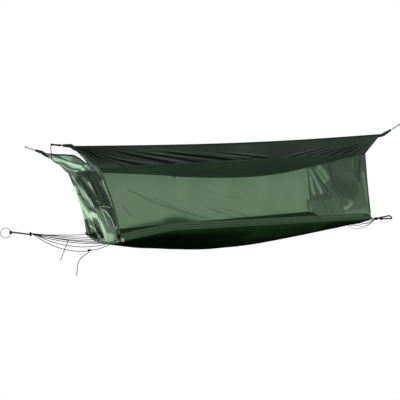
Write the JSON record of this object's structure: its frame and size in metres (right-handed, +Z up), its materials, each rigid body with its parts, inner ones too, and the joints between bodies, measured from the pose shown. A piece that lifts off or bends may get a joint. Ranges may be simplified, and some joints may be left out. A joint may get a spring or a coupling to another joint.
{
  "type": "hammock tent",
  "caption": "Netted hammock tent: a cloth bed under a roof sheet with zipped net walls, hung by a ring at its head and a cord loop at its foot.",
  "frame": {"origin": "centre of the head ring", "axes": "+X from the head to the foot, +Z up, -Y the side with the zipped entry"},
  "size_m": [3.0552, 0.9575, 0.8493],
  "materials": {
    "roof_cloth": "coated cloth, soft sheen",
    "bed_cloth": "tight woven cloth, satin",
    "net_cloth": "fine mesh, see-through",
    "end_net": "fine mesh, see-through, crinkled",
    "webbing": "woven tape, matt",
    "cord": "braided cord, matt",
    "zip_tape": "woven tape with fine teeth",
    "label_cloth": "plain cloth, blank",
    "pale_tape": "pale woven tape",
    "steel": "plated wire, satin"
  },
  "bodies": {
    "hammock": {"back_edge_webbing": "webbing", "back_net_wall": "net_cloth", "bed": "bed_cloth", "bed_side_zip_tape": "zip_tape", "care_label": "label_cloth", "corner_eyelet": "pale_tape", "foot_back_roof_tab": "webbing", "foot_corner_zip_tape": "zip_tape", "foot_end_panel": "net_cloth", "foot_front_roof_tab": "webbing", "foot_hem": "bed_cloth", "foot_knot": "cord", "foot_line_1": "cord", "foot_line_2": "cord", "foot_line_3": "cord", "foot_line_4": "cord", "foot_line_5": "cord", "foot_line_6": "cord", "foot_line_7": "cord", "foot_line_8": "cord", "front_edge_webbing": "webbing", "head_back_roof_tab": "webbing", "head_bight": "cord", "head_corner_zip_tape": "zip_tape", "head_crossing_band": "cord", "head_end_panel": "end_net", "head_front_roof_tab": "webbing", "head_hem": "bed_cloth", "head_line_1": "cord", "head_line_2": "cord", "head_line_3": "cord", "head_line_4": "cord", "head_line_5": "cord", "head_line_6": "cord", "head_line_7": "cord", "head_line_8": "cord", "knot_cord_end": "cord", "lamp_loop_tab": "webbing", "line_cord_end": "cord", "roof_sheet": "roof_cloth", "slack_line_knot": "cord"},
    "entry_net": {"front_net_wall": "net_cloth", "net_side_zip_tape": "zip_tape"},
    "zip_slider": {"zip_slider": "steel"},
    "outer_zip_pull": {"outer_zip_pull": "steel"},
    "inner_zip_pull": {"inner_zip_pull": "steel"},
    "head_ring": {"head_ring": "steel"},
    "foot_loop": {"foot_loop": "cord"},
    "lamp_loop": {"lamp_loop": "pale_tape"},
    "head_front_roof_loop": {"head_front_roof_loop": "cord", "head_front_cord_end": "cord"},
    "head_back_roof_loop": {"head_back_roof_loop": "cord"},
    "foot_front_roof_loop": {"foot_front_roof_loop": "cord"},
    "foot_back_roof_loop": {"foot_back_roof_loop": "cord"}
  },
  "joints": [
    {"name": "entry_net_lift", "type": "hinge", "parent": "hammock", "child": "entry_net", "pos_m": [1.4955, -0.375, 0.3617], "axis": [-1, 0, -0.006], "range_deg": [0, 80]},
    {"name": "zip_slide", "type": "slide", "parent": "hammock", "child": "zip_slider", "axis": [-0.9995, 0, 0.0331], "range_m": [0, 1.46]},
    {"name": "outer_pull_swing", "type": "hinge", "parent": "zip_slider", "child": "outer_zip_pull", "pos_m": [2.48, -0.3788, -0.07501], "axis": [0.0331, 0, 0.9995], "range_deg": [0, 160]},
    {"name": "inner_pull_swing", "type": "hinge", "parent": "zip_slider", "child": "inner_zip_pull", "pos_m": [2.48, -0.3712, -0.07501], "axis": [-0.0331, 0, -0.9995], "range_deg": [0, 100]},
    {"name": "head_ring_swing", "type": "hinge", "parent": "hammock", "child": "head_ring", "pos_m": [0.0306, 0, 0], "axis": [0, 0, 1], "range_deg": [-75, 75]},
    {"name": "foot_loop_swing", "type": "hinge", "parent": "hammock", "child": "foot_loop", "pos_m": [2.862, 0, -0.14], "axis": [0, 1, 0], "range_deg": [-60, 100]},
    {"name": "lamp_loop_swing", "type": "hinge", "parent": "hammock", "child": "lamp_loop", "pos_m": [1.143, 0, 0.28431], "axis": [1, 0, 0], "range_deg": [-75, 75]},
    {"name": "head_front_roof_loop_swing", "type": "hinge", "parent": "hammock", "child": "head_front_roof_loop", "pos_m": [0.27709, -0.42771, 0.49335], "axis": [0.1627, -0.9867, 0], "range_deg": [-70, 75]},
    {"name": "head_back_roof_loop_swing", "type": "hinge", "parent": "hammock", "child": "head_back_roof_loop", "pos_m": [0.28375, 0.43686, 0.53583], "axis": [-0.3227, -0.9465, 0], "range_deg": [-70, 110]},
    {"name": "foot_front_roof_loop_swing", "type": "hinge", "parent": "hammock", "child": "foot_front_roof_loop", "pos_m": [2.68447, -0.45283, 0.53469], "axis": [0.6189, 0.7855, 0], "range_deg": [-70, 110]},
    {"name": "foot_back_roof_loop_swing", "type": "hinge", "parent": "hammock", "child": "foot_back_roof_loop", "pos_m": [2.69457, 0.44346, 0.52682], "axis": [-0.4299, 0.9029, 0], "range_deg": [-70, 110]}
  ]
}
